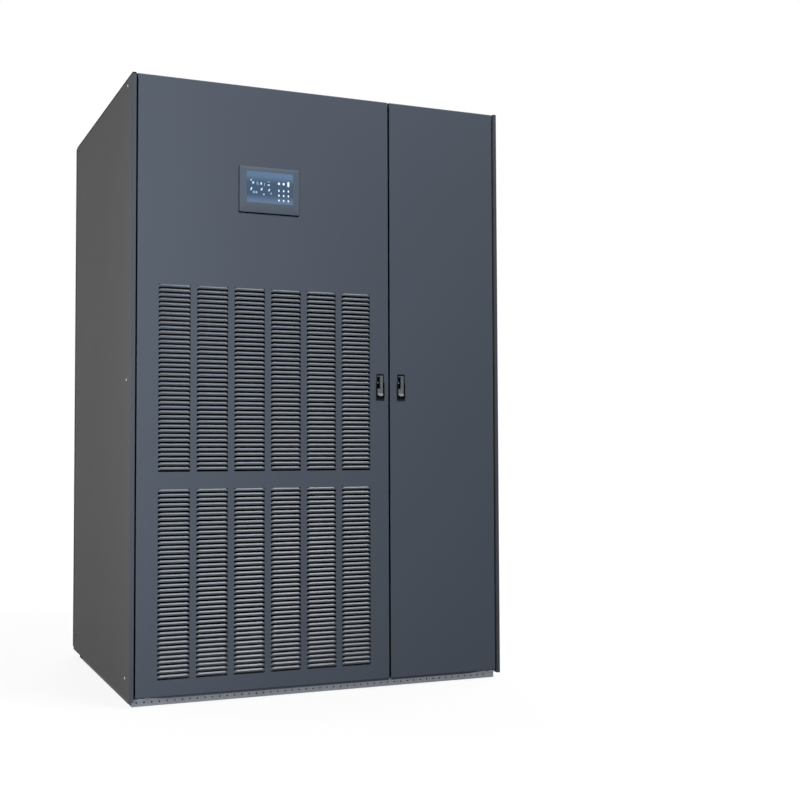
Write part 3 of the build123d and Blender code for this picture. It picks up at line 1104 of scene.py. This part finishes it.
        # Dark strips in the gaps beside the doors: painted shade in the gaps.
        black = self.paints.get(SEAL_RUBBER_AND_SHADE)
        self.strip("left_door_gap_shade_strip", "left_door", left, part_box(left)[0].x, black)
        self.strip("right_door_gap_shade_strip", "right_door", right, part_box(right)[0].x, black)
        left_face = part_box("left_side_panel")[1].x + self.panel_strip
        self.strip("left_panel_gap_shade_strip", "cabinet", left, left_face, black)
        right_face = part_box("right_side_panel")[0].x
        self.strip("right_panel_gap_shade_strip", "cabinet", right, right_face, self.paints.get(FRAME_PAINT_AND_SHADE))


@dataclass
class Shell(Assembly):
    """The steel cabinet and doors from CAD, with thin corner sheets in front whose bluish tint is painted front
    light, and lips under the doors.
    """

    trim_sheet: float = 0.8 * MM
    trim_return: float = 30.0 * MM
    trim_bend: float = 2.0 * MM
    trim_steps: int = 4
    trim_cap: float = EDGE_TRIM_W
    foot_drop: float = 5.7 * MM
    foot_sheet: float = 1.2 * MM
    foot_behind: float = 3.4 * MM
    foot_sink: float = 0.4 * MM
    foot_taper: float = 70.0 * MM
    foot_clear: float = 18.0 * MM
    foot_end: float = 1.0 * MM

    def corner_light_tint(self, side: Side) -> None:
        """Folds a thin sheet round the front edge of a side panel, tinted bluish as that edge looks under the
        front lamps: painted light on the cabinet paint.

        Args:
            side: The panel's side.
        """
        low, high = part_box(f"{side.value}_side_panel")
        outer, inner = side.outer_first(low, high)
        skin = outer + side.outward * self.trim_sheet
        front = low.y - self.trim_sheet
        rear = low.y + self.trim_return
        corners = [(inner, front), (skin, front), (skin, rear), (outer, rear), (outer, low.y), (inner, low.y)]
        rise = high.z - self.trim_cap - low.z
        mesh = prism([(x, y, low.z) for x, y in corners], (0, 0, rise))
        bend = [
            e for e in mesh.edges
            if all(abs(v.co.x - skin) + abs(v.co.y - front) < CLOSE for v in e.verts)
        ]
        round_edges(mesh, bend, self.trim_bend, self.trim_steps)
        # The sheet carries the front-lit tint: painted light on the panel's front edge.
        piece(f"{side.value}_corner_light_tint", mesh, self.paints.get(FRONT_LIGHT_TINT), "cabinet")

    def door_foot(self, side: Side) -> None:
        """Hangs a thin lip under a door, which runs out before it reaches the pivot.

        Args:
            side: The door's side.
        """
        low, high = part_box(f"{side.value}_door_skin")
        hinge = next(joint for joint in frame["joints"] if joint["name"] == f"{side.value}_door_hinge")
        inward = -side.outward
        start = hinge["pos_m"][0] + inward * self.foot_clear
        end = side.outer_first(low, high)[1] - inward * self.foot_end
        near = low.y + self.foot_behind
        top = low.z + self.foot_sink
        bottom = low.z - self.foot_drop
        corners = [(start, top), (end, top), (end, bottom), (start + inward * self.foot_taper, bottom)]
        mesh = prism([(x, near, z) for x, z in corners], (0, self.foot_sheet, 0))
        paint = self.paints.get(DOOR_PAINT)
        piece(f"{side.value}_door_foot", mesh, paint, f"{side.value}_door")

    def build(self) -> None:
        """Paints each CAD node of the shell and the doors, and adds the corner sheets with their painted light
        tint and the lips.
        """
        cabinet = frame["record"]["behaviour"]["bodies"]["cabinet"]
        coats = {
            CABINET_PAINT: [n for n in cabinet if n.endswith("_panel")],
            FRAME_PAINT_AND_SHADE: [
                *(n for n in cabinet if n.endswith(("_post", "_top_rail"))),
                "base_left_rail", "base_right_rail", "base_rear_rail", "outlet_guard",
                "upper_door_pivots", "left_door_blocks", "right_door_blocks",
            ],
            ZINC_RAIL: ["base_front_rail", "lower_door_pivots"],
            ZINC_PLATE: ["floor_pan"],
            DOOR_PAINT: ["left_door_skin", "right_door_skin"],
        }
        for finish, nodes in coats.items():
            paint_nodes(nodes, self.paints.get(finish))
            LOG.info("%s: %d nodes", finish.name, len(nodes))
        for side in Side:
            self.corner_light_tint(side)
            self.door_foot(side)


# Stage


@dataclass(frozen=True)
class Lamp:
    """One soft lamp: where it hangs, the point that it faces, its width and height, and its watts."""

    name: str
    at: Place
    aim: Place
    size: tuple[float, float]
    watts: float

    def hang(self) -> None:
        """Adds the lamp to the scene, where the camera does not see it."""
        data = bpy.data.lights.new(self.name, "AREA")
        data.shape = "RECTANGLE"
        data.size, data.size_y = self.size
        data.energy = self.watts
        lamp = bpy.data.objects.new(self.name, data)
        lamp.visible_camera = False
        lamp.location = self.at
        lamp.rotation_euler = (Vector(self.aim) - Vector(self.at)).to_track_quat("-Z", "Y").to_euler()
        bpy.context.scene.collection.objects.link(lamp)


LAMPS = (
    Lamp("key", (2.1, -3.2, 7.0), (0.0, -0.5, 1.0), (3.2, 1.0), 490.0),
    Lamp("side", (-3.4, 1.6, 1.4), (-0.66, 0.2, 0.9), (1.0, 2.4), 60.0),
    Lamp("front_left", (-1.6, -1.9, 1.1), (-0.5, -0.5, 1.0), (0.4, 2.2), 34.0),
    Lamp("rear", (0.9, 4.4, 2.4), (0.0, 0.5, 1.0), (2.4, 2.0), 90.0),
    Lamp("right", (4.2, 1.0, 1.8), (0.66, 0.1, 1.0), (1.2, 2.4), 70.0),
)


@dataclass
class Studio:
    """A pale floor, soft lamps and the camera at the photograph's angle."""

    camera_at: Place = (-1.457, -3.955, 0.824)
    camera_turn: tuple[float, float, float] = (92.28, 0.0, -20.74)
    sensor_mm: float = 36.0
    focal_px: float = 1118.0
    frame_px: float = 800.0
    centre_px: float = 285.0
    fill: float = 0.04
    floor_grey: float = 0.08
    floor_roughness: float = 0.9
    floor_specular: float = 0.1
    floor_half: float = 14.0
    floor_near: float = 1.0
    floor_far: float = 6.0
    floor_glow: float = 0.88

    def camera(self) -> None:
        """Sets up the camera."""
        data = bpy.data.cameras.new("photo_camera")
        data.sensor_width = self.sensor_mm
        data.lens = self.focal_px / self.frame_px * self.sensor_mm
        data.shift_x = (self.frame_px / 2 - self.centre_px) / self.frame_px
        eye = bpy.data.objects.new("photo_camera", data)
        eye.location = self.camera_at
        eye.rotation_euler = [math.radians(a) for a in self.camera_turn]
        bpy.context.scene.collection.objects.link(eye)
        bpy.context.scene.camera = eye

    def world(self) -> None:
        """White to the eye and in reflections, and a soft grey fill otherwise."""
        world = bpy.data.worlds.new("studio")
        bpy.context.scene.world = world
        world.use_nodes = True
        tree = world.node_tree
        back = tree.nodes["Background"]
        back.inputs["Color"].default_value = WHITE
        rays = tree.nodes.new("ShaderNodeLightPath").outputs
        seen = math_node(tree, "MAXIMUM", rays["Is Camera Ray"], rays["Is Transmission Ray"])
        mirrored = math_node(tree, "MAXIMUM", seen, rays["Is Glossy Ray"])
        glow = tree.nodes.new("ShaderNodeMapRange")
        set_inputs(glow, {"To Min": self.fill, "To Max": 1.0})
        tree.links.new(mirrored, glow.inputs["Value"])
        tree.links.new(glow.outputs["Result"], back.inputs["Strength"])

    def floor(self) -> None:
        """Lays the pale floor, which takes the cabinet's shadow and fades into the white behind it."""
        mesh = bmesh.new()
        bmesh.ops.create_grid(mesh, x_segments=1, y_segments=1, size=self.floor_half)
        data = bpy.data.meshes.new("floor")
        mesh.to_mesh(data)
        mesh.free()
        material = bpy.data.materials.new("pale_floor")
        material.use_nodes = True
        tree = material.node_tree
        shader = tree.nodes["Principled BSDF"]
        grey = (self.floor_grey, self.floor_grey, self.floor_grey, 1.0)
        set_inputs(shader, {"Base Color": grey, "Emission Color": WHITE})
        set_inputs(shader, {"Roughness": self.floor_roughness, "Specular IOR Level": self.floor_specular})
        rays = tree.nodes.new("ShaderNodeLightPath").outputs
        seen = math_node(tree, "MAXIMUM", rays["Is Camera Ray"], rays["Is Glossy Ray"])
        place = tree.nodes.new("ShaderNodeTexCoord")
        away = tree.nodes.new("ShaderNodeVectorMath")
        away.operation = "LENGTH"
        tree.links.new(place.outputs["Object"], away.inputs[0])
        fade = tree.nodes.new("ShaderNodeMapRange")
        fade.interpolation_type = "SMOOTHSTEP"
        set_inputs(fade, {"From Min": self.floor_near, "From Max": self.floor_far})
        set_inputs(fade, {"To Min": self.floor_glow, "To Max": 1.0})
        tree.links.new(away.outputs["Value"], fade.inputs["Value"])
        lift = math_node(tree, "MULTIPLY", seen, fade.outputs["Result"])
        tree.links.new(lift, shader.inputs["Emission Strength"])
        data.materials.append(material)
        floor = bpy.data.objects.new("floor", data)
        bpy.context.scene.collection.objects.link(floor)

    def build(self) -> None:
        """Sets the whole stage."""
        bpy.context.scene.view_settings.view_transform = "Standard"
        self.camera()
        self.world()
        self.floor()
        for lamp in LAMPS:
            lamp.hang()


def main() -> None:
    """Builds the stage and every sub-assembly in order."""
    logging.basicConfig(level=logging.INFO, format="%(name)s: %(message)s")
    paints = Paintbox()
    Studio().build()
    Shell(paints).build()
    LouvreBanks(paints).build()
    Display(paints).build()
    for side in Side:
        Latch(paints, side).build()
    Screws(paints).build()
    Seals(paints).build()
    Lining(paints).build()


if __name__ == "__main__":
    main()
